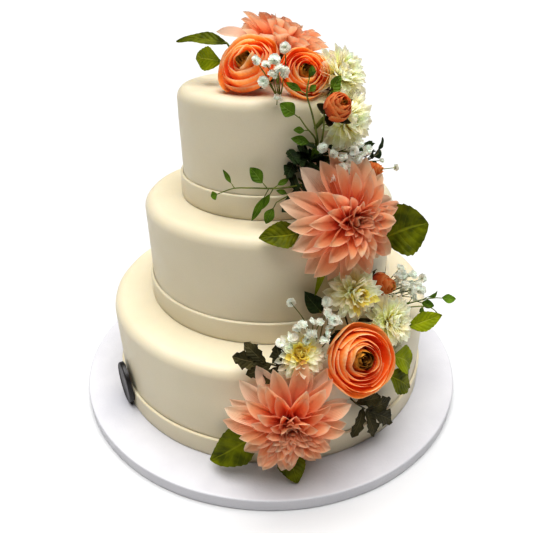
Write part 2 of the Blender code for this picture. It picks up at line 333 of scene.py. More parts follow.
IVORY = (0.715, 0.645, 0.485)
MATERIALS = {
    "icing": icing_material("icing_ivory", IVORY, 0.46),
    # The band's icing is 5% lighter than the tiers': painted light for the extra light its face
    # catches.
    "band": icing_material("icing_band", tuple(c * 1.05 for c in IVORY), 0.4),
    "board": board_material(),
    "plaque": plaque_material(),
    # The deep colours at the foot (0.0) of the coral, orange and bud ramps are partly the petals'
    # own and partly painted shade for the depth of the flower.
    "coral": petal_material(
        "petal_coral",
        [(0.0, 240, 96, 44), (0.25, 250, 130, 74), (0.55, 254, 170, 116),
         (0.85, 254, 198, 152), (1.0, 255, 230, 204)],
        (250, 226, 208), 0.45, veins=32.0, through=0.55, relief=0.16,
    ),
    "orange": petal_material(
        "petal_orange",
        [(0.0, 232, 78, 8), (0.45, 252, 122, 24), (0.7, 254, 150, 48),
         (0.86, 254, 186, 100), (1.0, 255, 236, 196)],
        (254, 206, 140), 0.35, through=0.55, relief=0.05,
    ),
    "bud": petal_material(
        "petal_bud",
        [(0.0, 150, 44, 52), (0.4, 206, 92, 56), (0.8, 234, 132, 60), (1.0, 246, 184, 116)],
        (240, 170, 112), 0.5,
    ),
    "cream": petal_material(
        "petal_cream",
        [(0.0, 253, 241, 158), (0.3, 255, 250, 204), (0.7, 255, 253, 230), (1.0, 255, 254, 244)],
        (255, 254, 244), 0.04, veins=14.0, through=0.62,
    ),
    "yellow": petal_material(
        "petal_yellow",
        [(0.0, 238, 186, 30), (0.5, 253, 226, 84), (1.0, 254, 246, 164)],
        (254, 244, 160), 0.2, veins=10.0,
    ),
    "floret": petal_material(
        "floret_white",
        [(0.0, 250, 250, 236), (0.4, 255, 254, 250), (1.0, 255, 255, 252)],
        (255, 255, 252), 0.0, veins=8.0, through=0.62,
    ),
    "heart": heart_material("heart_green_brown", (112, 62, 10), (206, 150, 60)),
    "leaf": leaf_material("leaf_green", (71, 79, 0), (122, 128, 0), (154, 158, 34)),
    # A lighter copy of the green leaf colour for the upper leaves: painted light for the top light
    # they catch.
    "leaf_light": leaf_material(
        "leaf_light", (124, 138, 0), (166, 176, 14), (194, 198, 78), through=0.3
    ),
    "leaf_dark": leaf_material(
        "leaf_dark", (44, 42, 20), (80, 72, 40), (112, 102, 70), through=0.08, roughness=0.6
    ),
    # A darker copy of the leaf colour for foliage among the flowers: partly its own dark green,
    # partly painted shade from the flowers around it.
    "leaf_deep": leaf_material(
        "leaf_deep", (24, 38, 14), (50, 68, 32), (92, 104, 64), through=0.1, roughness=0.5
    ),
    "leaf_vine": leaf_material(
        "leaf_vine", (66, 96, 10), (116, 150, 40), (160, 186, 92), 0.3, 0.45, ribs=5.0
    ),
    "stem": stem_material("stem_green", (76, 88, 18), (118, 126, 40)),
    "sepal": stem_material("sepal_dark", (50, 42, 22), (84, 80, 34)),
}


# -------- surface patches to mesh


CELL_MARGIN = 0.04
WOBBLE_SIZE = 34  # how far apart the icing's slight swellings are
WELD_DISTANCE = 0.001 * MM


class Piece:
    """Collects patches of surface, in millimetres, into one mesh with its maps."""

    def __init__(self, name, seed=0):
        self.name = name
        self.patches = []
        self.rng = np.random.RandomState(seed)
        self.draw = self.rng.uniform

    def chance(self, low=0):
        """A tint with no fade and a random tone."""
        return 0, self.draw(low, 1)

    def add(self, points, frame_matrix=None, tint=(0.0, 0.5), material=0):
        """points is a grid: rows run from the petal's foot to its tip, columns go across."""
        if frame_matrix is not None:
            m = np.array(frame_matrix)
            points = points @ m[:3, :3].T + m[:3, 3]
        self.patches.append((points, tint, material))

    def build(self, materials, replaces=(), sharp_angle=None):
        """sharp_angle is for closed turned shapes: it welds their seams, and edges over so many
        degrees stay sharp. OFBake gives each patch a cell of its own."""
        cells = math.ceil(math.sqrt(len(self.patches)))
        verts, faces, petal, tint, atlas, looks = [], [], [], [], [], []
        first = 0
        for number, (points, tints, look) in enumerate(self.patches):
            rows, columns = points.shape[:2]
            verts.append(points.reshape(-1, 3))
            index = first + np.arange(rows * columns).reshape(rows, columns)
            quads = np.stack(
                [index[:-1, :-1], index[:-1, 1:], index[1:, 1:], index[1:, :-1]], -1
            ).reshape(-1, 4)
            faces.append(quads)
            ends = np.linspace(0, 1, rows), np.linspace(0, 1, columns)
            v, u = np.meshgrid(*ends, indexing="ij")
            own = np.stack([u, v], -1).reshape(-1, 2)[quads.ravel() - first]
            petal.append(own)
            tint.append(np.tile(tints, (len(own), 1)))
            corner = np.array([number % cells, number // cells])
            atlas.append((corner + CELL_MARGIN + (1 - 2 * CELL_MARGIN) * own) / cells)
            looks.append(np.full(len(quads), look))
            first += rows * columns
        mesh = bpy.data.meshes.new(self.name)
        points = (np.concatenate(verts) * MM).tolist()
        mesh.from_pydata(points, [], np.concatenate(faces).tolist())
        for name, values in (("petal", petal), ("tint", tint), ("OFBake", atlas)):
            layer = mesh.uv_layers.new(name=name)
            layer.data.foreach_set("uv", np.concatenate(values).ravel())
        mesh.polygons.foreach_set("material_index", np.concatenate(looks))
        for look in materials:
            mesh.materials.append(MATERIALS[look])
        if sharp_angle:
            bm = bmesh.new()
            bm.from_mesh(mesh)
            bmesh.ops.remove_doubles(bm, verts=bm.verts, dist=WELD_DISTANCE)
            bm.to_mesh(mesh)
            bm.free()
        mesh.shade_smooth()
        if sharp_angle:
            mesh.set_sharp_from_angle(angle=math.radians(sharp_angle))
        obj = bpy.data.objects.new(self.name, mesh)
        bpy.context.collection.objects.link(obj)
        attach(obj, "root")
        if replaces:
            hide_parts(*replaces)


def turned(profile, segments, wobble, seed):
    """A grid turned from (radius, height) points, pushed in and out a little by noise."""
    angle = np.linspace(0, math.tau, segments + 1)
    grid = np.empty((len(profile), segments + 1, 3))
    for i, (radius, height) in enumerate(profile):
        x, y = radius * np.sin(angle), -radius * np.cos(angle)
        grid[i] = np.stack([x, y, np.full_like(angle, height)], -1)
        for j in range(segments):
            place = Vector(grid[i, j]) / WOBBLE_SIZE + Vector((seed, 0, 0))
            grid[i, j, :2] *= 1 + wobble * noise.noise(place) / max(radius, 20)
        grid[i, -1] = grid[i, 0]
    return grid


def curve(points, count):
    """A smooth line of count points through the given ones."""
    p = np.array(points, float)
    p = np.vstack([2 * p[0] - p[1], p, 2 * p[-1] - p[-2]])
    out = []
    for t in np.linspace(0, len(p) - 3 - 1e-9, count):
        i = int(t)
        f = t - i
        a, b, c, d = p[i : i + 4]
        line = 2 * b + (c - a) * f
        line += (2 * a - 5 * b + 4 * c - d) * f**2
        line += (3 * b - a - 3 * c + d) * f**3
        out.append(0.5 * line)
    return np.array(out)


def tube(path, radii, sides=6):
    """A round stem along a path; its ends close to a point."""
    path = np.array(path, float)
    radii = np.broadcast_to(radii, len(path)).astype(float)
    tangent = np.gradient(path, axis=0)
    tangent /= np.linalg.norm(tangent, axis=1, keepdims=True)
    side = np.cross(tangent[0], (0.3, 0.2, 1.0))
    rings = []
    for place, way, radius in zip(path, tangent, radii):
        side = side - way * side.dot(way)
        side /= np.linalg.norm(side)
        angle = np.linspace(0, math.tau, sides + 1)
        ring = np.outer(np.cos(angle), side) + np.outer(np.sin(angle), np.cross(way, side))
        rings.append(place + radius * ring)
    ends = [np.repeat(path[:1], sides + 1, 0)], [np.repeat(path[-1:], sides + 1, 0)]
    return np.array(ends[0] + rings + ends[1])


# -------- places


def around_cake(azimuth, reach, height):
    """A point in millimetres from its azimuth (degrees from the front towards +X)."""
    turn = math.radians(azimuth)
    return Vector((reach * math.sin(turn), -reach * math.cos(turn), height))


def facing(azimuth, reach, height, look_azimuth, rise):
    """A frame whose +Z looks out along an azimuth, raised by so many degrees. Its +Y is up."""
    rise, turn = math.radians(rise), math.radians(look_azimuth)
    level = math.cos(rise)
    axis = Vector((math.sin(turn) * level, -math.cos(turn) * level, math.sin(rise)))
    right = Vector((math.cos(turn), math.sin(turn), 0))
    basis = Matrix((right, axis.cross(right), axis)).transposed().to_4x4()
    return Matrix.Translation(around_cake(azimuth, reach, height)) @ basis


def outward(point, lean=(0, 0, 0.6)):
    """The direction straight out of the cake at a point, turned by a lean added to it."""
    return Vector((point.x, point.y, 0)).normalized() + Vector(lean)


# -------- petals

CREASE_WIDTH = 0.22  # as a share of the petal's half width
GOLDEN_ANGLE = 137.5  # degrees from each petal to the next where petals follow a spiral
RANUNCULUS_HEART_PETALS = 14
MUM_HEART_PETALS = 30
BUD_PETALS = 17
BUD_HEART_PETALS = 6
SEPALS = 5


def outline(v, foot, widest, power):
    """Half width along a petal as a share of its greatest: foot at v=0, a tip at v=1."""
    rising = foot + (1 - foot) * np.sin(np.pi / 2 * np.clip(v / widest, 0, 1))
    falling = (1 - np.clip((v - widest) / (1 - widest), 0, 1) ** power) ** 0.8
    return np.maximum(np.where(v < widest, rising, falling), 0.035)


def petal(length, width, start, end, draw, foot=0.35, widest=0.55, power=2.0, cup=0.35,
          tip_cup=0.1, ruffle=0.0, twist=0.0, bend=0.0, crease=0.0, rows=13, columns=9,
          start_at=0.0):
    """A petal along +X from the flower's axis, with +Z the flower's face. start and end are how
    steeply it rises at its foot and tip, in degrees. foot, widest and power shape its outline;
    cup and tip_cup are how hollow it is; bend and twist turn it sideways; crease is its fold."""
    v = np.linspace(0, 1, rows)
    u = np.linspace(-1, 1, columns)
    slope = np.radians(start + (end - start) * v**1.2)
    step = length / (rows - 1)
    x = start_at + np.concatenate([[0], np.cumsum(np.cos(slope[:-1]) * step)])
    z = np.concatenate([[0], np.cumsum(np.sin(slope[:-1]) * step)])
    half = outline(v, foot, widest, power) * width / 2
    hollow = (cup + (tip_cup - cup) * v) * half
    rise = np.outer(hollow, u**2)
    rise -= np.outer(crease * half * np.sin(np.pi * v), np.exp(-((u / CREASE_WIDTH) ** 2)))
    waves = draw(1.2, 2.4)
    phase = draw(0, math.tau, 2)
    wave = np.sin(math.tau * waves * v[:, None] + np.where(u < 0, phase[0], phase[1])[None, :])
    swell = np.sin(np.pi * np.clip(v, 0.15, 0.95))[:, None]
    rise += ruffle * wave * (np.abs(u) ** 2)[None, :] * swell * half[:, None]
    angle = np.radians(twist) * v
    y = np.outer(half * np.cos(angle), u) * (1 - 0.10 * cup)
    rise += np.outer(half * np.sin(angle), u)
    y += (bend * length * v**2)[:, None]
    grid = np.empty((rows, columns, 3))
    grid[..., 0] = x[:, None] - np.sin(slope)[:, None] * rise
    grid[..., 1] = y
    grid[..., 2] = z[:, None] + np.cos(slope)[:, None] * rise
    return grid


def turn_z(degrees, lift=0.0):
    return Matrix.Translation((0, 0, lift)) @ Matrix.Rotation(math.radians(degrees), 4, "Z")


DAHLIA_ROUNDS = [
    # count, length, width (shares of the radius), start, end slopes, cup, lift, pale
    (12, 1.00, 0.37, 4, -8, 0.16, -0.12, 0.9),
    (13, 1.00, 0.32, 17, -4, 0.34, -0.07, 0.4),
    (13, 0.89, 0.28, 29, 6, 0.45, -0.03, 0.2),
    (12, 0.75, 0.25, 41, 18, 0.55, -0.01, 0.1),
    (11, 0.58, 0.22, 53, 34, 0.62, 0.01, 0.04),
    (10, 0.44, 0.18, 63, 56, 0.66, 0.02, 0.0),
    (9, 0.32, 0.15, 70, 88, 0.70, 0.03, 0.0),
    (6, 0.22, 0.12, 78, 116, 0.75, 0.03, 0.0),
]


def steps(count):
    """Each number below count, with its place between 0 and 1."""
    return [(i, (i + 0.5) / count) for i in range(count)]


def add_stem(piece, place, radius, downs, thick, sides, material):
    """A straight stem behind a flower; downs and thick are shares of the flower's radius."""
    line = curve([(0, 0, -down * radius) for down in downs], len(thick))
    piece.add(tube(line, np.array(thick) * radius, sides), place, material=material)


def add_dahlia(name, place, radius, node, seed, stretch=(0.0, 0.0), cupping=0.0,
               back_pale=1.0, spoons=(0, 0, 0), extra=(), blunt=2.3):
    """Pointed, folded petals in rounds. stretch is how much longer the petals grow on one side
    and where that side is, in degrees round the face. spoons are small late petals: how many,
    around which angle, how far spread. extra petals are angle, length, start, end, pale. blunt
    is how round the tips are."""
    piece = Piece(name, seed)
    draw = piece.draw
    for count, length, width, start, end, cup, lift, pale in DAHLIA_ROUNDS:
        shift = draw(0, 360)
        for i in range(count):
            angle = shift + 360 * i / count + draw(-8, 8)
            grow = 1 + stretch[0] * math.cos(math.radians(angle - stretch[1]))
            grow += draw(-0.12, 0.06)
            shape = petal(
                radius * length * grow,
                radius * width * draw(0.84, 1.12),
                start + cupping + draw(-7, 7),
                end + cupping * 1.4 + draw(-14, 12),
                draw, foot=0.28, widest=draw(0.5, 0.66), power=blunt,
                cup=cup + draw(-0.05, 0.35), tip_cup=draw(0.3, 0.8), ruffle=0.2,
                twist=draw(-20, 20), bend=draw(-0.09, 0.09),
                crease=draw(0.15, 0.4), rows=15, start_at=radius * 0.02,
            )
            fade = min(1.0, max(0.0, pale * back_pale + draw(-0.12, 0.16)))
            piece.add(shape, place @ turn_z(angle, lift * radius), (fade, draw(0, 1)))
    for i, t in steps(spoons[0]):
        angle = spoons[1] + spoons[2] * math.sin(2.4 * i + 0.5) + draw(-9, 9)
        shape = petal(radius * (0.34 + 0.44 * t), radius * draw(0.12, 0.17), 62 - 26 * t,
                      30 - 22 * t, draw, foot=0.4, widest=0.7, power=2.4, cup=0.8, tip_cup=0.7,
                      ruffle=0.1, twist=draw(-20, 20), rows=11, columns=7)
        piece.add(shape, place @ turn_z(angle, (0.10 - 0.12 * t) * radius),
                  (draw(0.0, 0.45), draw(0.3, 1)))
    for angle, length, start, end, pale in extra:
        shape = petal(radius * length, radius * 0.5, start, end, draw, foot=0.3, widest=0.55,
                      power=1.9, cup=0.25, tip_cup=0.2, ruffle=0.12, crease=0.12, twist=48,
                      rows=15)
        piece.add(shape, place @ turn_z(angle, -0.10 * radius), (pale, 0.5))
    thick = (0.16, 0.2, 0.16, 0.1, 0.06, 0.06, 0.06, 0.06)
    add_stem(piece, place, radius, (0.02, 0.16, 0.3, 0.72), thick, 10, 1)
    piece.build(["coral", "sepal"], [node])


def wrap_petal(radius, rim, height, flare, span, foot, depth, draw, rows=11, columns=15,
               dip=0.16):
    """A petal of a ranunculus: part of a bowl round the axis, from its foot to a rim. It spans
    so many degrees to either side; dip is how far its corners are rounded off."""
    v = np.linspace(0, 1, rows)[:, None]
    u = np.linspace(-1, 1, columns)[None, :]
    reach = v * (1 - dip * np.abs(u) ** 2.6)
    a, b = 1 - reach, reach
    points = [
        (foot * radius, -depth * radius),
        (rim * 1.05 + 0.12 * radius, -0.75 * depth * radius),
        (rim * 1.14, height - 0.22 * radius),
        (rim * flare, height),
    ]
    weights = [a**3, 3 * a * a * b, 3 * a * b * b, b**3]
    r = sum(w * p[0] for w, p in zip(weights, points))
    z = sum(w * p[1] for w, p in zip(weights, points))
    k = draw(0.8, 2.2, 2)
    p = draw(0, math.tau, 2)
    r = r * (1 + 0.035 * np.sin(k[0] * 3 * u + p[0]) * b**2)
    z = z + 0.05 * radius * np.sin(k[1] * 2.4 * u + p[1]) * b**3
    widen = 0.55 + 0.45 * np.sin(np.pi / 2 * np.clip(reach * 1.5, 0, 1))
    angle = u * math.radians(span) * widen
    return np.stack([r * np.cos(angle), r * np.sin(angle), np.broadcast_to(z, r.shape)], -1)


def add_ranunculus(name, place, radius, node, seed, count=18, heart=0.33, dome=0.36):
    """Broad thin petals wrapped round a small heart, each rim a little lower than the last."""
    open_rim = 0.10
    piece = Piece(name, seed)
    draw = piece.draw
    for i, t in steps(count):
        rim = radius * (heart + (1 - heart) * t**0.95) * draw(0.95, 1.06)
        height = radius * (dome * (1 - t**1.35) + open_rim) + draw(-0.08, 0.08) * radius
        flare = 0.88 + 0.24 * t**1.5 + draw(-0.06, 0.08)
        shape = wrap_petal(radius, rim, height, flare, draw(50, 72) * (1.2 - 0.2 * t),
                           0.14, 0.36, draw, dip=draw(0.12, 0.3))
        fade = max(0.0, draw(-0.35, 0.55) * (0.4 + 0.6 * t))
        spot = place @ turn_z(i * GOLDEN_ANGLE + draw(-14, 14))
        piece.add(shape, spot, (fade, draw(0, 1)))
    for i, t in steps(RANUNCULUS_HEART_PETALS):
        rim = radius * heart * (0.14 + 0.84 * t)
        height = radius * (dome + open_rim - 0.03 - 0.06 * (1 - t) ** 2)
        shape = wrap_petal(radius, rim, height, 0.82, 64, 0.05, 0.3, draw, 7, 11, 0.14)
        piece.add(shape, place @ turn_z(i * GOLDEN_ANGLE), piece.chance(), 1)
    add_stem(piece, place, radius, (0.3, 0.5, 1.75), (0.3, 0.22, 0.1, 0.08, 0.08), 8, 2)
    piece.build(["orange", "heart", "sepal"], [node])


MUM_ROUNDS = [
    # count, length, width (shares of the radius), start, end slopes, lift
    (20, 0.96, 0.29, -4, -6, -0.20),
    (20, 1.00, 0.29, 10, 8, -0.14),
    (19, 0.96, 0.28, 23, 26, -0.09),
    (18, 0.88, 0.27, 36, 48, -0.05),
    (16, 0.78, 0.25, 47, 72, -0.01),
    (14, 0.66, 0.23, 56, 96, 0.02),
    (11, 0.52, 0.20, 66, 112, 0.04),
    (8, 0.40, 0.17, 74, 118, 0.05),
]


def add_mum(name, place, radius, node, seed, open_heart=0, yellow=0.0):
    """Spoon petals that curl up and in over a yellow heart. open_heart leaves that many of the
    inner rounds away; yellow is how many of the inner petals turn yellow."""
    piece = Piece(name, seed)
    draw = piece.draw
    rounds = MUM_ROUNDS[: len(MUM_ROUNDS) - open_heart]
    for number, (count, length, width, start, end, lift) in enumerate(rounds):
        for i in range(count):
            angle = number * 31 + 360 * i / count + draw(-8, 8)
            shape = petal(
                radius * length * draw(0.84, 1.08),
                radius * width * draw(0.8, 1.15),
                start + draw(-8, 8),
                end + draw(-18, 18),
                draw, foot=0.5, widest=0.74, power=3.2, cup=0.55, tip_cup=0.6, ruffle=0.12,
                twist=draw(-18, 18), bend=draw(-0.09, 0.09), rows=9, columns=5,
                start_at=radius * 0.04,
            )
            look = 1 if draw() < yellow * max(0, number - 2) / 3 else 0
            spot = place @ turn_z(angle, lift * radius)
            piece.add(shape, spot, piece.chance(0.3), look)
    for i, area in steps(MUM_HEART_PETALS):
        t = math.sqrt(area)
        shape = petal(radius * draw(0.3, 0.42), radius * 0.1, 88 - 30 * t, 100 - 10 * t,
                      draw, foot=0.5, widest=0.7, power=2.2, cup=0.9, tip_cup=0.6, rows=6,
                      columns=4, start_at=radius * 0.03 + radius * 0.18 * t)
        piece.add(shape, place @ turn_z(i * GOLDEN_ANGLE, 0.06 * radius), piece.chance(), 1)
    add_stem(piece, place, radius, (-0.02, 0.3, 1.7), (0.1, 0.24, 0.2, 0.08, 0.06), 8, 2)
    piece.build(["cream", "yellow", "sepal"], [node])


def add_bud(name, place, radius, node, seed, root):
    """A closed bud on its own stem, hugged by dark sepals. root is where the stem enters the
    cake, as a place round it."""
    piece = Piece(name, seed)
    draw = piece.draw
    for i, t in steps(BUD_PETALS):
        rim = radius * (0.24 + 0.60 * t**0.8)
        height = radius * (0.92 * (1 - t**1.6) + 0.10) + draw(-0.05, 0.05) * radius
        shape = wrap_petal(radius, rim, height, 0.70 + 0.22 * t, draw(50, 70), 0.2, 0.85,
                           draw)
        spot = place @ turn_z(i * GOLDEN_ANGLE + draw(-12, 12))
        piece.add(shape, spot, piece.chance())
    for i in range(BUD_HEART_PETALS):
        rim = radius * (0.06 + 0.03 * i)
        shape = wrap_petal(radius, rim, radius * 0.92, 0.8, 70, 0.05, 0.3, draw, 6, 9)
        piece.add(shape, place @ turn_z(i * GOLDEN_ANGLE), piece.chance(), 1)
    for i in range(SEPALS):
        shape = petal(radius * 1.25, radius * 0.62, 8, 78, draw, foot=0.6, widest=0.4, power=1.4,
                      cup=0.4, tip_cup=0.5, ruffle=0.1, rows=9, columns=7,
                      start_at=radius * 0.25)
        spot = place @ turn_z(i * 360 / SEPALS + 20, -0.92 * radius)
        piece.add(shape, spot, piece.chance(), 2)
    stem = [place @ Vector((0, 0, -down * radius)) for down in (0.8, 1.7)] + [around_cake(*root)]
    piece.add(tube(curve(stem, 10), np.linspace(0.22, 0.12, 10) * radius, 8), material=3)
    piece.build(["bud", "heart", "sepal", "stem"], [node])


# -------- leaves


def leaf_grid(base, tip, width, bow, normal, draw, teeth=9, bite=0.07, fold=0.22, widest=0.42,
              power=1.25, rows=29, columns=11, wave=0.05, curl=0.0):
    """A leaf from base to tip, bowed out along its normal, folded at its midrib. bite is how
    deep its teeth are; curl bends its tip down."""
    base, tip, normal = (np.array(p, float) for p in (base, tip, normal))
    along = tip - base
    length = np.linalg.norm(along)
    along /= length
    across = np.cross(along, normal)
    across /= np.linalg.norm(across)
    up = np.cross(across, along)
    v = np.linspace(0, 1, rows)[:, None]
    u = np.linspace(-1, 1, columns)[None, :]
    half = outline(v, 0.1, widest, power) * width / 2
    saw = np.mod(v * teeth - 0.35 * np.abs(u), 1.0)
    half = half * (1 - bite * saw * np.abs(u) ** 4)
    phase = draw(0, math.tau, 2)
    lift = bow * np.sin(np.pi * v) + fold * np.abs(u) ** 1.2 * half
    lift = lift + wave * width * np.sin(v * 9 + phase[0] + 1.5 * u) * np.abs(u) ** 2
    lift = lift - curl * width * v**2
    side = u * half + 0.04 * width * np.sin(v * 4 + phase[1])
    spine = base + v[..., None] * length * along
    return spine + side[..., None] * across + lift[..., None] * up


def stalk(piece, root, base, blade_end, thick):
    """A stalk from its root to a blade's base and on under the blade."""
    points = [root, (root + base) / 2, base, blade_end]
    path = curve(points, 4 * len(points))
    piece.add(tube(path, np.linspace(thick, thick * 0.8, len(path)), 7), material=1)


def add_leaf(name, node, root, base, tip, width, bow, seed, lean=(0, 0, 0.6), look="leaf",
             slot="green_leaves", **shape):
    """A leaf on its stalk; root, base and tip are places round the cake."""
    piece = Piece(name, seed)
    root, base, tip = (around_cake(*p) for p in (root, base, tip))
    normal = outward((base + tip) / 2, lean)
    blade = leaf_grid(base, tip, width, bow, normal, piece.draw, **shape)
    piece.add(blade, tint=(0, piece.draw(0.2, 0.8)))
    stalk(piece, root, base, base.lerp(tip, 0.12), 0.9)
    piece.build([look, "stem"], [node])


def add_lobed_leaf(name, node, root, base, tip, lobes, seed):
    """A dark divided leaf: toothed lobes that fan out from one stalk. A lobe is where it starts
    along the leaf, where its tip lies and its width."""
    piece = Piece(name, seed)
    root, base, tip = (around_cake(*p) for p in (root, base, tip))
    normal = outward((base + tip) / 2)
    for start, end, width in lobes:
        blade = leaf_grid(base.lerp(tip, start), around_cake(*end), width, 1.5, normal,
                          piece.draw, teeth=4, bite=0.42, fold=0.16, widest=0.6, power=1.6,
                          wave=0.07)
        piece.add(blade, tint=piece.chance())
    stalk(piece, root, base, base.lerp(tip, 0.4), 0.8)
    piece.build(["leaf_dark", "sepal"], [node])


# -------- the cake itself

TIER_SEGMENTS = 224
BOARD_SEGMENTS = 256
FLOOR_GAP = 0.2
FLOOR_RINGS = (0, 300, 2500, 9000, 24000)


def measure(node):
    """The radius, underside and top of a round CAD node, in millimetres."""
    low, high = (np.array(corner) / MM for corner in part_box(node))
    return (high[0] - low[0]) / 2, low[2], high[2]


def rounded(radius, top, ease, count):
    """A quarter round of size ease, from a side at radius up to a top."""
    return [
        (radius - ease + ease * math.cos(a), top - ease + ease * math.sin(a))
        for a in np.linspace(0, math.pi / 2, count)
    ]


def build_turned(name, profile, segments, wobble, seed, look, node):
    piece = Piece(name)
    piece.add(turned(profile, segments, wobble, seed))
    piece.build([look], [node], sharp_angle=50)


def build_tier(node, name):
    """One iced tier: a straight side, a soft quarter round and a top that falls off slightly."""
    radius, base, top = measure(node)
    edge = 10.0
    sunk = 0.05  # keeps the top inside the CAD's
    profile = [(0, base), (radius - 2, base), (radius - 0.6, base + 0.5)]
    profile += [(radius, z) for z in np.linspace(base + 1.5, top - edge, 22)]
    profile += [(r, z - sunk) for r, z in rounded(radius, top, edge, 14)[1:]]
    for share in (0.97, 0.9, 0.8, 0.65, 0.5, 0.35, 0.2, 0.1, 0):
        fall = 0.4 * (1 - share) ** 2
        profile.append(((radius - edge) * share, top - sunk - fall))
    build_turned(name, profile, TIER_SEGMENTS, 0.5, radius, "icing", node)


def build_band(node, name):
    """The band round a tier's foot, with a soft outer edge and an almost sharp lower one."""
    outer, base, top = measure(node)
    inner = outer - 2.35
    soft = 1.3
    profile = [(inner, base), (outer - 0.3, base), (outer, base + 0.4)]
    profile += [(outer, z) for z in np.linspace(base + 3, top - soft - 0.4, 6)]
    profile += rounded(outer, top, soft, 7)
    profile += [(inner, top - 0.1), (inner, base)]
    build_turned(name, profile, TIER_SEGMENTS, 0.25, outer + 3, "band", node)


def build_board():
    """The drum: a flat disc with both edges eased."""
    radius, _, thick = measure("cake_drum")
    ease = 1.4
    upper = rounded(radius, thick, ease, 6)
    profile = [(0, 0)] + [(r, thick - z) for r, z in upper[::-1]]
    profile += [(radius - 0.15, thick / 2)] + upper
    profile += [((radius - ease) * f, thick) for f in (0.99, 0.96, 0.9, 0.8, 0.6, 0.4, 0.2, 0)]
    build_turned("drum_board", profile, BOARD_SEGMENTS, 0.3, 9.0, "board",
                 "cake_drum")


PLAQUE_WIDTH = 35
PLAQUE_BACK = 154.9  # how far its back is from the cake's axis
PLAQUE_PROFILE = [
    # share of the half width and half height, height over the plaque's back
    (0, 0), (1, 0), (1.0, 3.0), (0.985, 3.9), (0.94, 4.3), (0.895, 4.0), (0.875, 3.55),
    (0.84, 3.5), (0.825, 3.75), (0.805, 3.8), (0.785, 3.6), (0.765, 3.5), (0.6, 3.62),
    (0.3, 3.75), (0.12, 3.78), (0, 3.78),
]


def build_plaque():
    """A blank oval plaque: a domed field inside a raised, rounded rim and a fine inner bead."""
    low, high = (Vector(corner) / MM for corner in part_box("plaque"))
    centre = (low + high) / 2
    azimuth = math.degrees(math.atan2(centre.x, -centre.y))
    width, height = PLAQUE_WIDTH / 2, (high.z - low.z) / 2
    angle = np.linspace(0, math.tau, 97)
    x, y = width * np.cos(angle), height * np.sin(angle)
    rings = [np.stack([r * x, r * y, np.full_like(x, z)], -1) for r, z in PLAQUE_PROFILE]
    piece = Piece("plaque_oval")
    piece.add(np.array(rings), facing(azimuth, PLAQUE_BACK, centre.z, azimuth, 0))
    piece.build(["plaque"], ["plaque"], sharp_angle=60)


def build_floor():
    """A wide white disc, just under the drum."""
    angle = np.linspace(0, math.tau, 65)
    verts = [
        (r * math.sin(a), -r * math.cos(a), -FLOOR_GAP) for r in FLOOR_RINGS for a in angle
    ]
    n = len(angle)
    faces = [
        (i * n + j, i * n + j + 1, (i + 1) * n + j + 1, (i + 1) * n + j)
        for i in range(len(FLOOR_RINGS) - 1)
        for j in range(n - 1)
    ]
    mesh = bpy.data.meshes.new("floor")
    mesh.from_pydata([tuple(c * MM for c in v) for v in verts], [], faces)
    mesh.materials.append(floor_material())
    floor = bpy.data.objects.new("floor", mesh)
    bpy.context.collection.objects.link(floor)


# -------- sprigs and small white flowers

ROOT_DEPTH = 14  # how far a sprig's foot goes into the cake
FLORET_PETALS = 30
SMALL_LEAF = dict(teeth=3, fold=0.3, power=1.5, rows=13, columns=7)


def sprig(piece, thick, path, leaves):
    """A stem with small leaves. A leaf is its place along the stem (0 to 1), its tip as a place
    round the cake, and its width. The stem's foot goes on into the cake."""
    draw = piece.draw
    line = curve([around_cake(*p) for p in path], 10 * len(path))
    piece.add(tube(line, np.linspace(thick, thick * 0.5, len(line)), 6), material=1)
    azimuth, reach, height = path[0]
    root = around_cake(azimuth, reach - ROOT_DEPTH, height)
    piece.add(tube(curve([root, line[0]], 4), thick), material=1)
    for where, tip, width in leaves:
        start = Vector(line[round(where * (len(line) - 1))])
        end = around_cake(*tip)
        base = start.lerp(end, 0.28)
        normal = outward((start + end) / 2, (0, 0, 0.35))
        piece.add(tube(curve([start, base], 4), [0.45, 0.4, 0.4, 0.3], 5), material=1)
        blade = leaf_grid(base, end, width, draw(-1, 1.6), normal, draw, bite=0.0,
                          widest=0.45, wave=0.04, **SMALL_LEAF)
        piece.add(blade, tint=piece.chance())


def tuft(piece, corners, count, size):
    """Pointed dark leaves that stand out of the side of a tier between two places round it."""
    draw = piece.draw
    low, high = np.array(corners, float)
    for _ in range(count):
        root = low + (high - low) * draw(0, 1, 3)
        lean = np.array((draw(-9, 9), draw(7, 15), draw(-8, 12)))
        start, end = around_cake(*(root - (0, 9, 0))), around_cake(*(root + lean))
        normal = outward(start, (draw(-1, 1), 0, draw(0, 1)))
        blade = leaf_grid(start, end, size * draw(0.5, 0.85), draw(-1, 2), normal,
                          draw, bite=0.35, widest=0.5, wave=0.08, **SMALL_LEAF)
        piece.add(blade, tint=piece.chance())


def floret(piece, centre, radius):
    """A ball of small ruffled white petals."""
    draw = piece.draw
    angle = draw(0, 6)
    axis = Vector(piece.rng.normal(size=3)).normalized()
    turn = Matrix.Translation(centre) @ Matrix.Rotation(angle, 4, axis)
    for i, t in steps(FLORET_PETALS):
        slope = math.degrees(math.asin(1 - 1.8 * t))
        shape = petal(radius * draw(0.85, 1.1), radius * 0.95, slope * 0.6,
                      slope * 0.8 + 25, draw, foot=0.2, widest=0.72, power=3.0, cup=0.35,
                      tip_cup=0.15, ruffle=0.5, rows=5, columns=5)
        piece.add(shape, turn @ turn_z(i * GOLDEN_ANGLE), piece.chance(0.3))


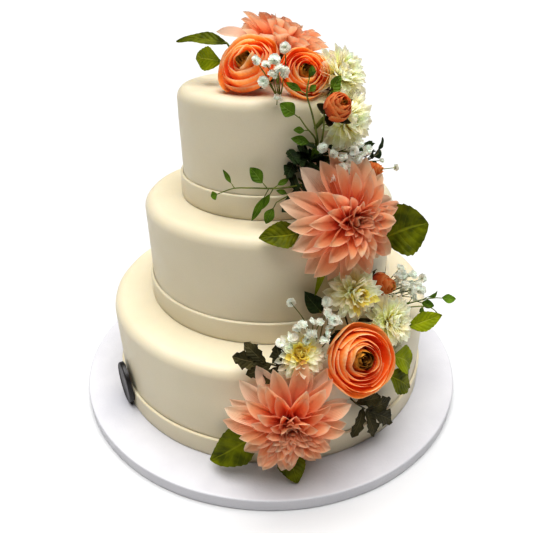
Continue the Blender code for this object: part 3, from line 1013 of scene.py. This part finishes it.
def spray(piece, radius, root, blooms):
    """Small white flowers on hair-thin stems that meet at a root."""
    draw = piece.draw
    foot = around_cake(*root)
    for bloom in blooms:
        top = around_cake(*bloom)
        size = radius * draw(0.82, 1.12)
        knee = foot.lerp(top, 0.55) + Vector(piece.rng.normal(size=3)) * 2.5
        line = curve([foot, knee, top], 8)
        piece.add(tube(line, np.linspace(0.55, 0.3, len(line)), 5), material=1)
        floret(piece, top, size)


add_camera()
add_lights()
build_floor()
build_board()
for tier in ("bottom", "middle", "top"):
    build_tier(f"tier_{tier}", f"iced_tier_{tier}")
    build_band(f"band_{tier}", f"iced_band_{tier}")
build_plaque()

add_dahlia("bloom_dahlia_crown", facing(108, 11, 314, 96, 70), 42, "dahlia_crown", 3,
           cupping=16, back_pale=0.35, extra=[(98, 1.3, 14, -16, 1.0)], blunt=3.6)
add_dahlia("bloom_dahlia_middle", facing(29, 118, 208, 30, 22), 48, "dahlia_middle", 11,
           stretch=(0.12, 122), back_pale=0.9, spoons=(16, -40, 55))
add_dahlia("bloom_dahlia_low", facing(4.2, 171, 77, 2, 8), 46.5, "dahlia_low", 21,
           stretch=(0.06, 120), spoons=(26, -90, 60))
add_ranunculus("bloom_ranunculus_left", facing(-17, 49, 309.5, -30, 44), 23,
               "ranunculus_crown_left", 5)
add_ranunculus("bloom_ranunculus_right", facing(25, 63, 305, 12, 30), 18,
               "ranunculus_crown_right", 6)
add_ranunculus("bloom_ranunculus_low", facing(23.7, 164, 117.5, 20, 30), 25.5,
               "ranunculus_low", 8, count=22, heart=0.36, dome=0.22)
add_mum("bloom_mum_crown", facing(48, 72, 302, 46, 36), 23, "mum_crown", 31)
add_mum("bloom_mum_top_side", facing(38, 91, 274, 40, 10), 23, "mum_top_side", 32)
add_mum("bloom_mum_middle", facing(29, 131, 154, 26, 14), 23, "mum_middle", 33, open_heart=1,
        yellow=0.25)
add_mum("bloom_mum_low_right", facing(41, 145, 123, 40, 26), 23, "mum_low_right", 34,
        open_heart=1)
add_mum("bloom_mum_low_left", facing(8, 152, 122.5, 4, 44), 19, "mum_low_left", 35,
        open_heart=1, yellow=0.8)
add_bud("bloom_bud_top", facing(27, 104, 288.5, 20, 30), 12, "bud_top_side", 41, (27, 76, 268))
add_bud("bloom_bud_behind", facing(58, 97, 229, 66, 18), 9.5, "bud_behind_dahlia", 42,
        (58, 76, 220))
add_bud("bloom_bud_under", facing(47, 126, 143, 52, 10), 11.5, "bud_under_dahlia", 43,
        (51, 112, 136))

# Some leaves take a lighter look that is painted light, and the middle dark leaf a look that is
# partly painted shade.
LEAVES = [
    # name, places of its root, base and tip, width, bow, and what else
    ("crown_far", (-45, 22, 289), (-66, 34, 321),
     (-101, 76, 320), 13, 4, dict(lean=(0, -0.5, 1.2), curl=-0.1)),
    ("crown_near", (-50, 34, 289), (-60, 42, 309),
     (-88, 58, 310), 19, 3, dict(lean=(0, -1.2, 0.3), look="leaf_light")),
    ("middle_left", (9, 100, 190), (11, 112, 203),
     (-4, 117, 201), 22, 2, dict(lean=(0, 0, 0.8))),
    ("middle_right", (42, 108, 186), (46, 122, 186),
     (55, 150, 198), 42, 4, dict(lean=(0, -0.6, 0.7), widest=0.5, power=1.7)),
    ("middle_stem", (21, 110, 190), (21, 121, 190),
     (15.5, 124, 154), 7, 1, dict(look="leaf_light", bite=0.0)),
    ("middle_dark", (20, 110, 132), (18.7, 122, 136),
     (12.5, 119, 156), 15, 1, dict(look="leaf_deep", slot="dark_leaves", bite=0.0)),
    ("low_right", (52, 148, 101), (47, 154, 115),
     (55, 173, 120), 17, 2, dict(lean=(0, -0.4, 0.9), look="leaf_light")),
    ("side_upper", (37, 150, 101), (38, 158, 100),
     (47, 161, 76), 25, 3, dict(look="leaf_light")),
    ("side_lower", (34, 150, 88), (36, 160, 86),
     (44, 167, 60), 24, 3, {}),
    ("foot_left", (-4, 150, 52), (-3, 161, 52),
     (-18, 167, 24), 32, 3, {}),
    ("foot_front", (5, 150, 42), (4, 163, 40),
     (6, 177, 14), 23, 3, dict(slot="dark_leaves")),
]
for seed, (name, *sizes, options) in enumerate(LEAVES, 51):
    node = "leaf_" + name.replace("side", "low_side")
    add_leaf("blade_" + name, node, *sizes, seed=seed, **options)
add_lobed_leaf("blade_lobed_left", "leaf_lobed_left", (6, 146, 98), (3, 156, 115), (-7, 153, 122),
               [(0.55, (-11, 153, 121), 16), (0.45, (-8, 148, 131), 13),
                (0.3, (-7, 159, 111), 13), (0.0, (1, 150, 132), 15),
                (0.15, (-2, 162, 105), 12)], 62)
add_lobed_leaf("blade_lobed_right", "leaf_lobed_right", (25, 150, 66), (24, 163, 72), (31, 166, 52),
               [(0.6, (38, 166, 34), 17), (0.5, (30, 168, 32), 14), (0.3, (22, 170, 44), 13),
                (0.45, (39, 160, 52), 14), (0.0, (33, 162, 68), 14)], 63)

VINES = [
    # thickness, the stem's path, its leaves
    (0.8, [(17, 90, 231), (8, 93, 231), (0, 91, 230), (-9, 88, 229), (-18, 86, 227),
           (-26, 87, 222)],
     [(0.42, (-9.5, 86, 244), 10), (0.36, (9, 92, 238), 4.5), (0.4, (-8.5, 94, 205), 5.5),
      (0.36, (-4, 93, 214), 5), (0.8, (-24.5, 84, 240), 4), (1.0, (-31, 88, 218), 7)]),
    (0.7, [(17, 92, 226), (9, 96, 226), (3, 94, 220)],
     [(1.0, (-2, 96, 204), 8), (0.5, (3, 95, 230), 4)]),
    (0.9, [(24, 84, 252), (23, 90, 262), (19, 93, 282), (16, 94, 296), (17, 92, 304)],
     [(1.0, (19.5, 89, 314), 5), (0.75, (7, 94, 305), 5), (0.78, (20, 94, 302), 4.5)]),
    (0.8, [(24, 85, 252), (22, 89, 264), (17, 91, 273), (13.5, 90, 281)],
     [(0.95, (5, 88, 290), 11), (0.6, (11.5, 87, 271), 5), (0.2, (10.5, 86, 265), 7)]),
    (0.8, [(26, 86, 254), (25, 92, 270), (24, 95, 286), (25, 95, 293)],
     [(1.0, (33, 92, 306), 9), (0.4, (29, 92, 276), 5), (0.2, (20, 90, 250), 6)]),
    (0.8, [(46, 126, 118), (50, 140, 124), (55, 154, 129), (58, 164, 130)],
     [(1.0, (61, 178, 128), 8), (0.7, (57.5, 164, 138), 6), (0.6, (58, 163, 121), 8),
      (0.35, (50, 150, 137), 5)]),
    (0.6, [(50, 140, 122), (55, 158, 124), (58, 166, 116), (58, 167, 109)],
     [(0.3, (53, 155, 121), 9)]),
]
vines = Piece("sprig_vines", 71)
for stem in VINES:
    sprig(vines, *stem)
vines.build(["leaf_vine", "stem"])

DARK_SPRIGS = [
    # thickness, the stem's path, its leaves
    (0.9, [(22, 80, 240), (19, 94, 232), (15, 99, 226)],
     [(0.9, (9, 100, 229), 9), (0.7, (14, 99, 238), 9), (0.5, (5, 101, 215), 13),
      (0.4, (22, 99, 243), 10)]),
    (0.9, [(30, 80, 250), (30, 92, 243), (26, 99, 236)],
     [(0.8, (20, 99, 246), 9), (0.6, (31, 99, 238), 10), (0.9, (24, 103, 228), 9)]),
    (0.9, [(58, 78, 232), (62, 92, 236), (66, 98, 240)],
     [(0.9, (69, 99, 252), 9), (0.6, (74, 98, 238), 8), (0.4, (66, 99, 226), 8),
      (0.5, (56, 98, 247), 8)]),
    (0.9, [(30, 120, 126), (26, 138, 124), (20, 150, 128)],
     [(0.6, (15, 150, 131), 10), (0.9, (18, 151, 139), 9), (0.5, (25, 148, 136), 9)]),
]
# This foliage takes the darker leaf look, partly its own dark green and partly painted shade.
foliage = Piece("sprig_dark_foliage", 72)
for stem in DARK_SPRIGS:
    sprig(foliage, *stem)
tuft(foliage, [(10, 84, 230), (30, 84, 254)], 17, 15)
tuft(foliage, [(14, 84, 240), (34, 84, 262)], 9, 13)
tuft(foliage, [(60, 84, 226), (74, 84, 246)], 7, 12)
foliage.build(["leaf_deep", "sepal"])

SPRAYS = [
    # the flowers' radius, the root, the flowers
    (4.2, (8, 58, 286), [(9, 75, 324), (-6, 80, 317), (-1, 81, 314.5), (3, 80, 317),
     (2, 82, 308), (7.5, 81, 309.5), (-2.5, 80, 303), (4.5, 79, 292), (5, 84, 312)]),
    (4.2, (33, 72, 244), [(22.5, 99, 260), (26.5, 103, 256), (30, 105, 253), (34, 108, 257),
     (37, 107, 250), (29, 108, 246), (24.5, 107, 240), (41, 106, 251), (33, 107, 248),
     (38, 106, 260), (45, 104, 253)]),
    (3.0, (66, 74, 226), [(76, 96, 236), (70, 100, 232), (72, 112, 226)]),
    (4.2, (18, 122, 100), [(7, 125, 151), (8.5, 150, 148), (11.5, 151, 151), (13.5, 150, 148),
     (15.5, 150, 155), (19, 152, 148.5), (16, 152, 143), (12, 153, 141), (7, 150, 145),
     (10, 152, 141), (6, 151, 137), (15, 155, 140), (14, 157, 136), (2.5, 151, 134),
     (18, 135, 154), (9.5, 152, 135), (17, 153, 150), (4.5, 152, 131)]),
    (4.6, (52, 110, 118), [(58, 136, 142), (57, 142, 138), (55, 138, 133), (60, 146, 135),
     (62, 148, 139), (56, 148, 128), (60, 150, 131), (54, 132, 140), (59, 130, 148),
     (53, 140, 141), (56, 134, 146), (58, 142, 146), (61, 140, 141), (52, 134, 148),
     (57, 150, 134), (54, 145, 137)]),
]
tiny = Piece("spray_small_white", 73)
for bunch in SPRAYS:
    spray(tiny, *bunch)
tiny.build(["floret", "stem"])
